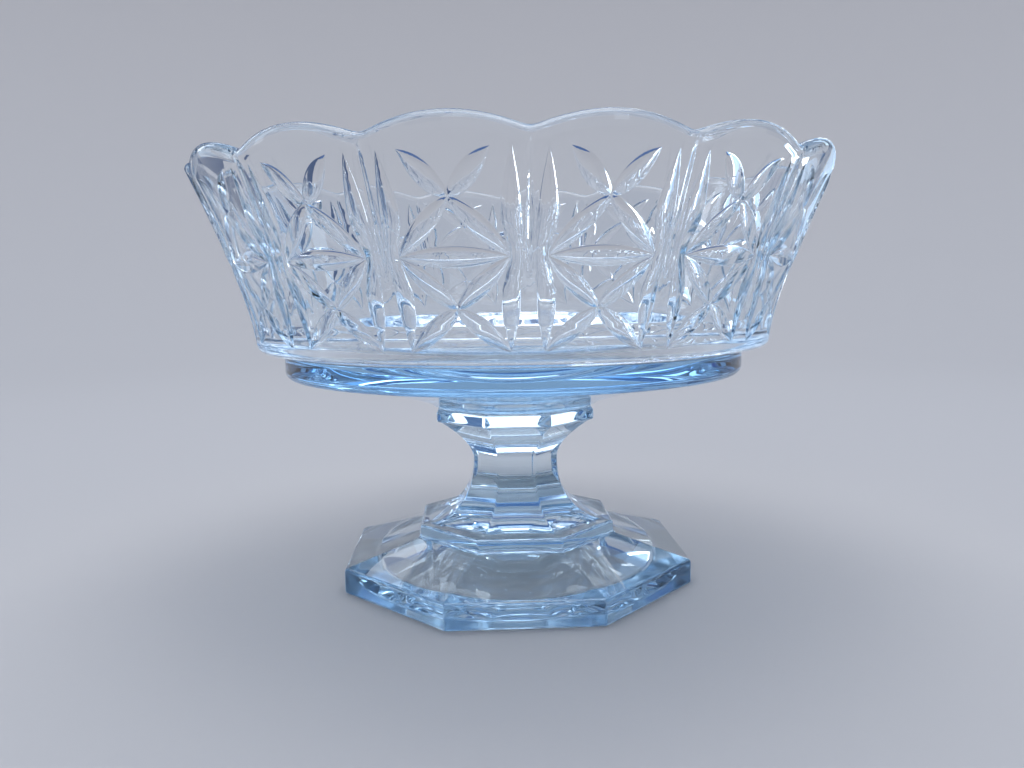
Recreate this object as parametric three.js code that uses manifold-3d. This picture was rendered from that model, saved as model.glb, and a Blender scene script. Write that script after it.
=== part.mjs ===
// Footed bowl of clear pressed glass with a scalloped rim.
// Millimetres, +Z up. The origin is the centre of the resting plane under the foot, and -Y is the front.
// Three pieces: an eight-sided pedestal, a thin clear bond film on its collar, and the bowl above it.

import * as THREE from "three";
import { mergeVertices } from "three/addons/utils/BufferGeometryUtils.js";
import Module from "manifold-3d";

// Pedestal: eight flat sides from the foot to the collar, sizes across the flats
const PEDESTAL_SIDES = 8;
const FOOT_FLATS = 123;
const FOOT_RISER = 8.75;
const FOOT_SLOPE_RISE = 7.75;
const STEP_FLATS = 70.5;
const STEP_RISER = 4.5;
const FLARE_REACH = 17;
const FLARE_RISE = 20;
const STEM_FLATS = 31.25;
const STEM_LENGTH = 3;
const NECK_RISE = 14.25;
const NECK_FULLNESS = 5.75;
const COLLAR_FLATS = 57;
const COLLAR_LEDGE = 1;
const COLLAR_RISER = 4.75;

// Round hollow pressed into the underside of the foot
const RECESS_RADIUS = 50;
const RECESS_DEPTH = 9;

// Clear film that bonds the bowl to the collar
const BOND_MARGIN = 1;
const BOND_THICKNESS = 0.25;

// Bowl, outside: seat, hollow underside, tier, overhang and flared wall
const SEAT_MARGIN = 1.5;
const UNDERSIDE_RISE = 13;
const UNDERSIDE_HOLLOW = 5;
const TIER_RADIUS = 82.5;
const TIER_RISER = 8;
const OVERHANG_RISE = 0.75;
const WALL_BASE_RADIUS = 91.5;
const WALL_BASE_ROUNDING = 2.5;
const WALL_RISE = 60;
const WALL_FLARE_START = 20;
const WALL_FLARE_LEAN = 2;
const RIM_RADIUS = 110;
const LIP_THICKNESS = 4.5;

// Bowl, inside: a smooth wall and a shallow dished floor
const WALL_BASE_THICKNESS = 6;
const FLOOR_THICKNESS = 9;
const FLOOR_DISH = 13;
const FLOOR_FILLET = 11;

// Scallops of the rim, one above each panel of the wall, with a dip above each ridge between two panels
const PANELS = 16;
const SCALLOP_RISE = 4;
const SCALLOP_BAND = 16;

// Cut pattern of a panel: leaf-shaped mitre cuts between points, with heights above the foot of the wall
const STAR_FOOT = 4.5;
const LOWER_CROSSING = 16;
const STAR_WAIST = 29.5;
const UPPER_CROSSING = 44;
const STAR_TOP = 53.5;
const LEAF_TOP = 54.5;
const LEAF_OVERLAP = 5;
const RIDGE_TO_LEAF_DEGREES = 2.75;
const STAR_TOP_DEGREES = 6.1;
const ARM_WIDTH = 5;
const ARM_DEPTH = 1.7;
const BAR_WIDTH = 5.8;
const BAR_DEPTH = 1.9;
const LEAF_WIDTH = 6.4;
const LEAF_DEPTH = 2.2;

// Faceting of curves
const BOWL_SIDES = PANELS * 3;
const RIM_SIDES = PANELS * 6;
const ROUND_SIDES = 64;
const CURVE_STEPS = 5;
const BOWL_STEPS = 3;
const LEAF_STEPS = 4;
const CUTTER_STANDOFF = 1;
const WELD = 1e-4;

const wasm = await Module();
wasm.setup();

/** Keep only positions, share common corners and leave out faces that have shrunk to a line. */
function weld(geometry) {
  const bare = geometry.clone();
  bare.deleteAttribute("normal");
  bare.deleteAttribute("uv");
  const welded = mergeVertices(bare, WELD);
  const corners = welded.index.array;
  const faces = [];
  for (let i = 0; i < corners.length; i += 3) {
    const face = [corners[i], corners[i + 1], corners[i + 2]];
    if (new Set(face).size === 3) faces.push(...face);
  }
  welded.setIndex(faces);
  return welded;
}

/** Turn an outline of (radius, height) points about +Z, from the front round; few sides give flat faces. */
function revolve(outline, sides, startAngle = 0) {
  const turned = new THREE.LatheGeometry(outline, sides, startAngle);
  turned.rotateX(Math.PI / 2);
  return weld(turned);
}

/** Closed mesh to solid. */
function solidOf(geometry) {
  const mesh = new wasm.Mesh({
    numProp: 3,
    vertProperties: new Float32Array(geometry.attributes.position.array),
    triVerts: new Uint32Array(geometry.index.array),
  });
  return new wasm.Manifold(mesh);
}

/** Solid back to a mesh geometry. */
function geometryOf(solid) {
  const mesh = solid.getMesh();
  const geometry = new THREE.BufferGeometry();
  geometry.setAttribute("position", new THREE.BufferAttribute(mesh.vertProperties, 3));
  geometry.setIndex(new THREE.BufferAttribute(mesh.triVerts, 1));
  geometry.computeVertexNormals();
  return geometry;
}

/** Clear glass with a faint blue-green body colour. */
function glass(color) {
  return new THREE.MeshStandardMaterial({
    color,
    roughness: 0.05,
    metalness: 0,
    transparent: true,
    opacity: 0.35,
  });
}

/** Named mesh standing on a given height. */
function piece(name, geometry, material, height) {
  const mesh = new THREE.Mesh(geometry, material);
  mesh.name = name;
  mesh.position.z = height;
  return mesh;
}

// Pedestal

/** Heights of the pedestal's breaks, from the resting plane up. */
function pedestalLevels() {
  const edge = FOOT_RISER;
  const stepFoot = edge + FOOT_SLOPE_RISE;
  const stepTop = stepFoot + STEP_RISER;
  const stemFoot = stepTop + FLARE_RISE;
  const stemTop = stemFoot + STEM_LENGTH;
  const collarFoot = stemTop + NECK_RISE;
  const top = collarFoot + COLLAR_RISER;
  return { edge, stepFoot, stepTop, stemFoot, stemTop, collarFoot, top };
}

/** Outline of the pedestal across its flats, then widened to the corners that the revolve turns. */
function pedestalOutline() {
  const level = pedestalLevels();
  const stem = STEM_FLATS / 2;
  const neckEnd = COLLAR_FLATS / 2 - COLLAR_LEDGE;
  const path = new THREE.Path();
  path.moveTo(0, 0);
  path.lineTo(FOOT_FLATS / 2, 0);
  path.lineTo(FOOT_FLATS / 2, level.edge);
  path.lineTo(STEP_FLATS / 2, level.stepFoot);
  path.lineTo(STEP_FLATS / 2, level.stepTop);
  const flare = stem + FLARE_REACH;
  path.lineTo(flare, level.stepTop);
  path.absellipse(flare, level.stemFoot, FLARE_REACH, FLARE_RISE, -Math.PI / 2, -Math.PI, true);
  path.lineTo(stem, level.stemTop);
  path.quadraticCurveTo(stem, level.stemTop + NECK_FULLNESS, neckEnd, level.collarFoot);
  path.lineTo(COLLAR_FLATS / 2, level.collarFoot);
  path.lineTo(COLLAR_FLATS / 2, level.top);
  path.lineTo(0, level.top);
  const toCorner = 1 / Math.cos(Math.PI / PEDESTAL_SIDES);
  return path.getPoints(CURVE_STEPS).map((point) => new THREE.Vector2(point.x * toCorner, point.y));
}

/** Shallow round dome under the foot, carried below the resting plane so that it cuts clean through. */
function recessOutline() {
  const path = new THREE.Path();
  path.moveTo(0, -RECESS_DEPTH);
  path.lineTo(RECESS_RADIUS, -RECESS_DEPTH);
  path.lineTo(RECESS_RADIUS, 0);
  path.quadraticCurveTo(RECESS_RADIUS / 2, RECESS_DEPTH, 0, RECESS_DEPTH);
  return path.getPoints(CURVE_STEPS);
}

function pedestalGeometry() {
  const body = revolve(pedestalOutline(), PEDESTAL_SIDES, Math.PI / PEDESTAL_SIDES);
  const recess = revolve(recessOutline(), ROUND_SIDES);
  return geometryOf(solidOf(body).subtract(solidOf(recess)));
}

// Bond film

function bondGeometry() {
  const radius = COLLAR_FLATS / 2 - BOND_MARGIN;
  const film = new THREE.CylinderGeometry(radius, radius, BOND_THICKNESS, ROUND_SIDES);
  film.rotateX(Math.PI / 2);
  film.translate(0, 0, BOND_THICKNESS / 2);
  return weld(film);
}

// Bowl, measured from its seat

/** Heights of the bowl's breaks above its seat. */
function bowlLevels() {
  const tierFoot = UNDERSIDE_RISE;
  const tierTop = tierFoot + TIER_RISER;
  const wallFoot = tierTop + OVERHANG_RISE;
  const dip = wallFoot + WALL_RISE;
  return { tierFoot, tierTop, wallFoot, dip };
}

/** Control point of the flared wall: upright at its foot, leaning out towards the rim. */
function flareControl() {
  return new THREE.Vector2(WALL_BASE_RADIUS + WALL_FLARE_LEAN, bowlLevels().wallFoot + WALL_FLARE_START);
}

/** Flared outer wall in (radius, height), from the rounding at its foot to the lip. */
function wallCurve() {
  const level = bowlLevels();
  return new THREE.QuadraticBezierCurve(
    new THREE.Vector2(WALL_BASE_RADIUS, level.wallFoot + WALL_BASE_ROUNDING),
    flareControl(),
    new THREE.Vector2(RIM_RADIUS, level.dip - LIP_THICKNESS / 2),
  );
}

/** Stretches of the bowl's outline in (radius, height): up the outside, over the lip, down to the floor. */
function bowlStretches() {
  const level = bowlLevels();
  const flare = flareControl();
  const lip = LIP_THICKNESS / 2;
  const lipHeight = level.dip - lip;
  const inner = WALL_BASE_RADIUS - WALL_BASE_THICKNESS;
  const floorEdge = FLOOR_THICKNESS + FLOOR_DISH;
  const seat = new THREE.Vector2(COLLAR_FLATS / 2 + SEAT_MARGIN, 0);
  const hollow = new THREE.Vector2(seat.x + UNDERSIDE_HOLLOW, UNDERSIDE_HOLLOW);
  const tierFoot = new THREE.Vector2(TIER_RADIUS, level.tierFoot);
  const tierTop = new THREE.Vector2(TIER_RADIUS, level.tierTop);
  const overhang = new THREE.Vector2(WALL_BASE_RADIUS - WALL_BASE_ROUNDING, level.wallFoot);
  const corner = new THREE.Vector2(WALL_BASE_RADIUS, level.wallFoot);
  const wall = wallCurve();
  const lipInside = new THREE.Vector2(RIM_RADIUS - LIP_THICKNESS, lipHeight);
  const insideFlare = new THREE.Vector2(flare.x - WALL_BASE_THICKNESS, flare.y);
  const filletTop = new THREE.Vector2(inner, floorEdge + FLOOR_FILLET);
  const filletCorner = new THREE.Vector2(inner, floorEdge);
  const floorRim = new THREE.Vector2(inner - FLOOR_FILLET, floorEdge - FLOOR_FILLET * floorSlope());
  const straight = (from, to) => ({ curve: new THREE.LineCurve(from, to), steps: 1, sides: BOWL_SIDES });
  const curved = (curve) => ({ curve, steps: BOWL_STEPS, sides: BOWL_SIDES });
  const bent = (from, by, to) => curved(new THREE.QuadraticBezierCurve(from, by, to));
  const lipArc = new THREE.EllipseCurve(RIM_RADIUS - lip, lipHeight, lip, lip, 0, Math.PI);
  return [
    straight(new THREE.Vector2(0, 0), seat),
    bent(seat, hollow, tierFoot),
    straight(tierFoot, tierTop),
    straight(tierTop, overhang),
    bent(overhang, corner, wall.v0),
    curved(wall),
    { curve: lipArc, steps: CURVE_STEPS, sides: RIM_SIDES },
    bent(lipInside, insideFlare, filletTop),
    bent(filletTop, filletCorner, floorRim),
    straight(floorRim, new THREE.Vector2(0, FLOOR_THICKNESS)),
  ];
}

/** Fall of the floor towards the middle, for each millimetre inward. */
function floorSlope() {
  return FLOOR_DISH / (WALL_BASE_RADIUS - WALL_BASE_THICKNESS);
}

/** Height of the rim's arch over a panel: 0 at the dips on the panel's edges, 1 at its middle. */
function arch(angle) {
  const pitch = (2 * Math.PI) / PANELS;
  const across = angle / pitch - Math.floor(angle / pitch) - 0.5;
  return 1 - (2 * across) ** 2;
}

/** Lift a point of the band under the rim into its scallop, on along the flare of the wall. */
function scalloped(point) {
  const { dip } = bowlLevels();
  const flare = flareControl();
  const lean = (RIM_RADIUS - flare.x) / (dip - flare.y);
  const share = THREE.MathUtils.smoothstep(point.z, dip - SCALLOP_BAND, dip);
  const lift = SCALLOP_RISE * share * arch(Math.atan2(point.x, -point.y));
  const radius = Math.hypot(point.x, point.y);
  const spread = radius > 0 ? 1 + (lift * lean) / radius : 1;
  return point.set(point.x * spread, point.y * spread, point.z + lift);
}

/** Ring of corners about +Z from the front round; one corner where the outline meets the axis. */
function ring(radius, height, sides) {
  const corners = [];
  for (let i = 0; i < (radius > 0 ? sides : 1); i += 1) {
    const angle = (2 * Math.PI * i) / sides;
    corners.push(scalloped(new THREE.Vector3(radius * Math.sin(angle), -radius * Math.cos(angle), height)));
  }
  return corners;
}

/** Rings of the whole bowl; where two stretches meet, the ring has the corners of the finer one. */
function bowlRings() {
  const stretches = bowlStretches();
  const rings = [ring(0, 0, 1)];
  stretches.forEach(({ curve, steps, sides }, index) => {
    const nextSides = stretches[index + 1]?.sides ?? sides;
    for (let i = 1; i <= steps; i += 1) {
      const spot = curve.getPoint(i / steps);
      rings.push(ring(spot.x, spot.y, i === steps ? Math.max(sides, nextSides) : sides));
    }
  });
  return rings;
}

/** Closed skin over rings that may differ in their number of corners, joined edge by edge round the axis. */
function stitch(rings) {
  const edges = rings.map((corners) => (corners.length > 1 ? corners.length : 0));
  const faces = [];
  let start = 0;
  for (let k = 1; k < rings.length; k += 1) {
    const [below, above] = [rings[k - 1].length, rings[k].length];
    const [edgesBelow, edgesAbove] = [edges[k - 1], edges[k]];
    const next = start + below;
    let [i, j] = [0, 0];
    while (i < edgesBelow || j < edgesAbove) {
      const corner = start + (i % below);
      const opposite = next + (j % above);
      const belowComesFirst = (i + 1) * edgesAbove <= (j + 1) * edgesBelow;
      if (j === edgesAbove || (i < edgesBelow && belowComesFirst)) {
        i += 1;
        faces.push(corner, start + (i % below), opposite);
      } else {
        j += 1;
        faces.push(corner, next + (j % above), opposite);
      }
    }
    start = next;
  }
  const skin = new THREE.BufferGeometry().setFromPoints(rings.flat());
  skin.setIndex(faces);
  return skin;
}

// Cut pattern of the wall

/** Place on the outer wall by angle from the front and height above the wall's foot, with its normal. */
function onWall(angle, height) {
  const curve = wallCurve();
  const climb = bowlLevels().wallFoot + height - curve.v0.y;
  const start = curve.v1.y - curve.v0.y;
  const bend = curve.v0.y - 2 * curve.v1.y + curve.v2.y;
  const share = climb / (start + Math.sqrt(start * start + bend * climb));
  const spot = curve.getPoint(share);
  const slope = curve.getTangent(share);
  const outward = new THREE.Vector2(Math.sin(angle), -Math.cos(angle));
  const point = scalloped(new THREE.Vector3(spot.x * outward.x, spot.x * outward.y, spot.y));
  const normal = new THREE.Vector3(slope.y * outward.x, slope.y * outward.y, -slope.x);
  return { point, normal };
}

/** Closed skin over a row of three-cornered sections. */
function loft(sections) {
  const corners = sections.flat();
  const size = sections[0].length;
  const last = corners.length - size;
  const faces = [0, 1, 2, last, last + 2, last + 1];
  for (let ring = 0; ring < last; ring += size) {
    for (let i = 0; i < size; i += 1) {
      const a = ring + i;
      const b = ring + ((i + 1) % size);
      faces.push(a, b + size, b, a, a + size, b + size);
    }
  }
  const skin = new THREE.BufferGeometry().setFromPoints(corners);
  skin.setIndex(faces);
  return skin;
}

/** V-shaped cutter along the wall, as wide and deep as stated at its middle and pointed at both ends. */
function leafCutter(from, to, width, depth) {
  const heading = onWall(to.angle, to.height).point.sub(onWall(from.angle, from.height).point);
  const sections = [];
  for (let i = 0; i <= LEAF_STEPS; i += 1) {
    const along = i / LEAF_STEPS;
    const swell = 4 * along * (1 - along);
    const angle = THREE.MathUtils.lerp(from.angle, to.angle, along);
    const height = THREE.MathUtils.lerp(from.height, to.height, along);
    const { point, normal } = onWall(angle, height);
    const side = new THREE.Vector3().crossVectors(heading, normal).normalize();
    const spread = (width / 2) * swell + (width / 2 / depth) * CUTTER_STANDOFF;
    const top = point.clone().addScaledVector(normal, CUTTER_STANDOFF);
    sections.push([
      point.clone().addScaledVector(normal, -depth * swell),
      top.clone().addScaledVector(side, spread),
      top.clone().addScaledVector(side, -spread),
    ]);
  }
  return solidOf(loft(sections));
}

/** Cutters of one panel: two crossings, a bar, and two overlapping upright leaves beside each end of it. */
function panelCutters(middle) {
  const leafAngle = Math.PI / PANELS - THREE.MathUtils.degToRad(RIDGE_TO_LEAF_DEGREES);
  const topAngle = THREE.MathUtils.degToRad(STAR_TOP_DEGREES);
  const place = (offset, height) => ({ angle: middle + offset, height });
  const upper = place(0, UPPER_CROSSING);
  const lower = place(0, LOWER_CROSSING);
  const cutters = [
    leafCutter(place(-leafAngle, STAR_WAIST), place(leafAngle, STAR_WAIST), BAR_WIDTH, BAR_DEPTH),
  ];
  for (const side of [-1, 1]) {
    const waist = place(side * leafAngle, STAR_WAIST);
    const foot = place(side * leafAngle, STAR_FOOT);
    const starTop = place(side * topAngle, STAR_TOP);
    const leafTop = place(side * leafAngle, LEAF_TOP);
    const upperLeafFoot = place(side * leafAngle, STAR_WAIST - LEAF_OVERLAP);
    const lowerLeafTop = place(side * leafAngle, STAR_WAIST + LEAF_OVERLAP);
    for (const [from, to] of [[upper, starTop], [upper, waist], [lower, waist], [lower, foot]]) {
      cutters.push(leafCutter(from, to, ARM_WIDTH, ARM_DEPTH));
    }
    cutters.push(leafCutter(upperLeafFoot, leafTop, LEAF_WIDTH, LEAF_DEPTH));
    cutters.push(leafCutter(lowerLeafTop, foot, LEAF_WIDTH, LEAF_DEPTH));
  }
  return cutters;
}

function bowlGeometry() {
  const pitch = (2 * Math.PI) / PANELS;
  let bowl = solidOf(stitch(bowlRings()));
  for (let panel = 0; panel < PANELS; panel += 1) {
    for (const cutter of panelCutters((panel + 0.5) * pitch)) bowl = bowl.subtract(cutter);
  }
  return geometryOf(bowl);
}

const collarTop = pedestalLevels().top;
const footedBowl = new THREE.Group();
footedBowl.add(
  piece("pedestal", pedestalGeometry(), glass(0xdfeaf0), 0),
  piece("bond_film", bondGeometry(), glass(0xf4f6f2), collarTop),
  piece("bowl", bowlGeometry(), glass(0xdfeaf0), collarTop + BOND_THICKNESS),
);

export default footedBowl;
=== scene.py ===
"""Footed bowl of clear pressed glass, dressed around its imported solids.

The frame is in metres with +Z up and the front towards -Y. Sizes of the object are in millimetres, and
each surface is worked out as whole arrays and turned to metres when it becomes a mesh.
"""

import logging
import math
from dataclasses import dataclass
from enum import Enum

import bpy
import numpy as np
from mathutils import Matrix, Vector
from mathutils.geometry import delaunay_2d_cdt


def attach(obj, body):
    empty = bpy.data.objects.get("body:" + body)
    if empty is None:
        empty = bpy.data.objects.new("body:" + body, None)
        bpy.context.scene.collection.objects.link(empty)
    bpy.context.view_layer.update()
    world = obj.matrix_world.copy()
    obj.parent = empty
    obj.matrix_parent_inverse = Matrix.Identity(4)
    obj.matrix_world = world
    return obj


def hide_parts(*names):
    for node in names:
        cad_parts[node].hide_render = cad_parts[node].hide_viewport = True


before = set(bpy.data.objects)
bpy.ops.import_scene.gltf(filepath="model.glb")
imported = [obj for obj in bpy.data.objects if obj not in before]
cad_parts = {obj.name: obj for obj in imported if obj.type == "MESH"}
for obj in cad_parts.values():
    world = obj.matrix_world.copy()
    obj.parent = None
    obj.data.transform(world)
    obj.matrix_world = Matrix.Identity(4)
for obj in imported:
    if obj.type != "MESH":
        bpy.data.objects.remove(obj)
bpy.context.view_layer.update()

Array = np.ndarray
Pair = tuple[float, float]
Triple = tuple[float, float, float]
Socket = bpy.types.NodeSocket

MM = 0.001
TINY = 1e-6
UP = np.array([0.0, 0.0, 1.0])
SCENE = bpy.context.scene
log = logging.getLogger("footed_bowl")


class Piece(Enum):
    """Names of the shown pieces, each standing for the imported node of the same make."""

    PEDESTAL = "pedestal_glass"
    BOND = "bond_film_clear"
    BOWL = "bowl_glass"


# Vectors


def unit(vectors: Array) -> Array:
    """The same vectors at length one."""
    return vectors / np.linalg.norm(vectors, axis=-1, keepdims=True)


def smooth(t: Array) -> Array:
    """Smooth step 3t^2 - 2t^3 of shares from 0 to 1."""
    return t * t * (3 - 2 * t)


def parabola(first: Array, middle: Array, last: Array, t: Array) -> tuple[Array, Array]:
    """Places (1-t)^2 first + 2t(1-t) middle + t^2 last of a parabola, and its unit tangents there."""
    spots = (1 - t) ** 2 * first + 2 * t * (1 - t) * middle + t**2 * last
    return spots, unit((1 - t) * (middle - first) + t * (last - middle))


def round_about(angle: Array) -> tuple[Array, Array]:
    """Unit vectors at angles from the front, counter-clockwise from above.

    Args:
        angle: Angles in radians.

    Returns:
        The vectors outward from the axis, and those round it.
    """
    flat = np.zeros_like(angle)
    outward = np.stack([np.sin(angle), -np.cos(angle), flat], axis=-1)
    around = np.stack([np.cos(angle), np.sin(angle), flat], axis=-1)
    return outward, around


# Outlines

# Largest turn in degrees that is no corner, and largest share of a stretch that a rounding takes.
STRAIGHT_ON = 4
CORNER_SHARE = 0.45


@dataclass(frozen=True)
class Stretch:
    """Part of an outline in radius and height, with its unit tangents.

    Attributes:
        samples: Rows of radius, height and squareness, which is 0 on a circle and 1 on an octagon.
        tangents: Rows of the unit direction of travel in radius and height.
    """

    samples: Array
    tangents: Array

    def lengths(self) -> Array:
        """Distance travelled from the start to each sample."""
        steps = np.linalg.norm(np.diff(self.samples[:, :2], axis=0), axis=1)
        return np.concatenate([[0.0], np.cumsum(steps)])

    def trimmed(self, start: float, end: float) -> "Stretch":
        """The same stretch without its first and last few millimetres.

        Args:
            start: Length taken off at the start.
            end: Length taken off at the end.

        Returns:
            The shorter stretch, with new samples where it was cut.
        """
        along = self.lengths()
        last = along[-1] - end
        inside = along[(along > start + TINY) & (along < last - TINY)]
        spots = np.concatenate([[start], inside, [last]])
        samples = [np.interp(spots, along, column) for column in self.samples.T]
        tangents = [np.interp(spots, along, column) for column in self.tangents.T]
        return Stretch(np.stack(samples, axis=1), unit(np.stack(tangents, axis=1)))


def line(start: Pair, end: Pair, steps: int = 1, square: Pair = (0, 0)) -> Stretch:
    """Straight stretch: samples at even shares of the way from start to end.

    Args:
        start: Radius and height of the first sample.
        end: Radius and height of the last sample.
        steps: Number of equal parts.
        square: Squareness at the start and at the end.

    Returns:
        The stretch.
    """
    share = np.linspace(0, 1, steps + 1)[:, None]
    ends = np.array([(*start, square[0]), (*end, square[1])], float)
    heading = unit(ends[1, :2] - ends[0, :2])
    return Stretch(ends[0] + share * (ends[1] - ends[0]), np.tile(heading, (steps + 1, 1)))


def bend(start: Pair, by: Pair, end: Pair, steps: int, square: float = 0) -> Stretch:
    """Parabolic stretch.

    Args:
        start: Radius and height of the first sample.
        by: Point where the tangents of both ends meet.
        end: Radius and height of the last sample.
        steps: Number of parts.
        square: Squareness of every sample.

    Returns:
        The stretch.
    """
    t = np.linspace(0, 1, steps + 1)[:, None]
    spots, tangents = parabola(*(np.array(point, float) for point in (start, by, end)), t)
    return Stretch(np.column_stack([spots, np.full(steps + 1, square)]), tangents)


def arc(centre: Pair, radii: Pair, turn: Pair, steps: int, square: float = 0) -> Stretch:
    """Elliptical stretch: centre + (a cos t, b sin t), with t in degrees from turn's first to its last.

    Args:
        centre: Radius and height of the arc's centre.
        radii: Half-axes a outward and b upward.
        turn: First and last angle in degrees, measured from the outward direction.
        steps: Number of parts.
        square: Squareness of every sample.

    Returns:
        The stretch.
    """
    t = np.radians(np.linspace(*turn, steps + 1))
    spots = np.array(centre) + np.column_stack([np.cos(t), np.sin(t)]) * radii
    way = math.copysign(1, turn[1] - turn[0])
    tangents = unit(way * np.column_stack([-np.sin(t), np.cos(t)]) * radii)
    return Stretch(np.column_stack([spots, np.full(steps + 1, square)]), tangents)


def soft_join(stretches: list[Stretch], reach: float, steps: int) -> Stretch:
    """Joins stretches end to end, and rounds each corner with a parabola between its two tangents.

    Args:
        stretches: Stretches in order of travel, each starting where the one before it ends.
        reach: Length that a rounding takes from each side of a corner.
        steps: Number of parts in a rounding.

    Returns:
        One stretch with no corners.
    """
    straight = math.cos(math.radians(STRAIGHT_ON))
    meets = [a.tangents[-1] @ b.tangents[0] < straight for a, b in zip(stretches, stretches[1:])]
    spans = [min(reach, CORNER_SHARE * stretch.lengths()[-1]) for stretch in stretches]
    starts = [0.0] + [span * corner for span, corner in zip(spans[1:], meets)]
    ends = [span * corner for span, corner in zip(spans, meets)] + [0.0]
    cut = [stretch.trimmed(a, b) for stretch, a, b in zip(stretches, starts, ends)]
    later = []
    for corner, whole, before, after in zip(meets, stretches, cut, cut[1:]):
        if corner:
            square = (before.samples[-1, 2] + after.samples[0, 2]) / 2
            tip = whole.samples[-1, :2]
            later.append(bend(before.samples[-1, :2], tip, after.samples[0, :2], steps, square))
        later.append(after)
    samples = [cut[0].samples] + [part.samples[1:] for part in later]
    tangents = [cut[0].tangents] + [part.tangents[1:] for part in later]
    return Stretch(np.concatenate(samples), np.concatenate(tangents))


def turned(outline: Stretch, columns: int) -> tuple[Array, Array]:
    """Rings of an outline turned about the axis.

    Args:
        outline: The outline, whose squareness is left out.
        columns: Number of vertices in a ring.

    Returns:
        Points and unit normals, by ring and column.
    """
    outward, _ = round_about(2 * math.pi * np.arange(columns) / columns)
    radius, height, _ = outline.samples.T[:, :, None, None]
    run, rise = outline.tangents.T[:, :, None, None]
    return radius * outward + height * UP, unit(rise * outward - run * UP)


# Skins


def ring_faces(rings: Array) -> Array:
    """Four-cornered faces between neighbouring closed rings.

    Args:
        rings: Vertex numbers, by ring and column.

    Returns:
        Vertex numbers, four to a face, turning outwards.
    """
    after = np.roll(rings, -1, axis=1)
    corners = [rings[:-1], after[:-1], after[1:], rings[1:]]
    return np.stack(corners, axis=-1).reshape(-1, 4)


@dataclass(frozen=True)
class Skin:
    """Surface in millimetres with a normal at each vertex.

    Attributes:
        points: Vertices, one row each.
        normals: Outward unit normals, one row each.
        quads: Vertex numbers of four-cornered faces.
        triangles: Vertex numbers of three-cornered faces.
    """

    points: Array
    normals: Array
    quads: Array
    triangles: Array

    @classmethod
    def closed(cls, points: Array, normals: Array, poles: Pair) -> "Skin":
        """Skin over a grid of rings, closed at both ends.

        Args:
            points: Vertices, by ring and column.
            normals: Their normals.
            poles: Heights of the first and the last pole.

        Returns:
            The closed skin.
        """
        rings = np.arange(points[..., 0].size).reshape(points.shape[:2])
        no_triangles = np.empty((0, 3), int)
        side = cls(points.reshape(-1, 3), normals.reshape(-1, 3), ring_faces(rings), no_triangles)
        return side.capped(rings[0], rings[-1], poles)

    def capped(self, first: Array, last: Array, poles: Pair) -> "Skin":
        """The skin with fans of triangles to a pole on the axis at each end.

        Args:
            first: Vertex numbers of the ring whose pole looks down.
            last: Vertex numbers of the ring whose pole looks up.
            poles: Heights of both poles.

        Returns:
            The closed skin.
        """
        count = len(self.points)
        opening = np.stack([np.full_like(first, count), np.roll(first, -1), first], axis=-1)
        closing = np.stack([last, np.roll(last, -1), np.full_like(last, count + 1)], axis=-1)
        return Skin(
            np.concatenate([self.points, np.outer(poles, UP)]),
            np.concatenate([self.normals, [-UP, UP]]),
            self.quads,
            np.concatenate([self.triangles, opening, closing]),
        )

    def shown(self, piece: Piece, node: str, slot: str) -> bpy.types.Object:
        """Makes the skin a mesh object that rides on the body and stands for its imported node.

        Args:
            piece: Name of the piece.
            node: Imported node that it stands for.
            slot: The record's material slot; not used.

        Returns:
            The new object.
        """
        mesh = bpy.data.meshes.new(piece.value)
        faces = self.quads.tolist() + self.triangles.tolist()
        mesh.from_pydata((self.points * MM).tolist(), [], faces)
        mesh.polygons.foreach_set("use_smooth", np.ones(len(faces), bool))
        mesh.update()
        mesh.normals_split_custom_set_from_vertices(self.normals.tolist())
        thing = bpy.data.objects.new(piece.value, mesh)
        SCENE.collection.objects.link(thing)
        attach(thing, "root")
        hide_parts(node)
        log.info("%s: %d vertices, %d faces, for %s", piece.value, len(self.points), len(faces), node)
        return thing


# Finishes


@dataclass(frozen=True)
class Graph:
    """Node tree that is filled from its textures to its output."""

    tree: bpy.types.NodeTree

    @classmethod
    def of(cls, owner: bpy.types.Material | bpy.types.World) -> "Graph":
        """The emptied tree of a material or a world.

        Args:
            owner: The material or world.

        Returns:
            The graph.
        """
        owner.use_nodes = True
        owner.node_tree.nodes.clear()
        return cls(owner.node_tree)

    def node(self, kind: str, *values: object, operation: str = "", **inputs: object) -> bpy.types.Node:
        """Adds a node and sets its inputs.

        Args:
            kind: Type of the node without its common prefix.
            *values: Values or sockets of its first inputs.
            operation: What the node works out, where it has a choice.
            **inputs: Values or sockets by input name, with a low line for each space.

        Returns:
            The node.
        """
        node = self.tree.nodes.new("ShaderNode" + kind)
        if operation:
            node.operation = operation
        named = [(name.replace("_", " "), value) for name, value in inputs.items()]
        for key, value in [*enumerate(values), *named]:
            if isinstance(value, Socket):
                self.tree.links.new(value, node.inputs[key])
            else:
                node.inputs[key].default_value = value
        return node

    def span(self, value: Socket, start: Pair, end: Pair) -> Socket:
        """Value led evenly from the range of start to that of end, and held at its ends."""
        ends = {"From_Min": start[0], "From_Max": start[1], "To_Min": end[0], "To_Max": end[1]}
        return self.node("MapRange", Value=value, **ends).outputs["Result"]


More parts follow.
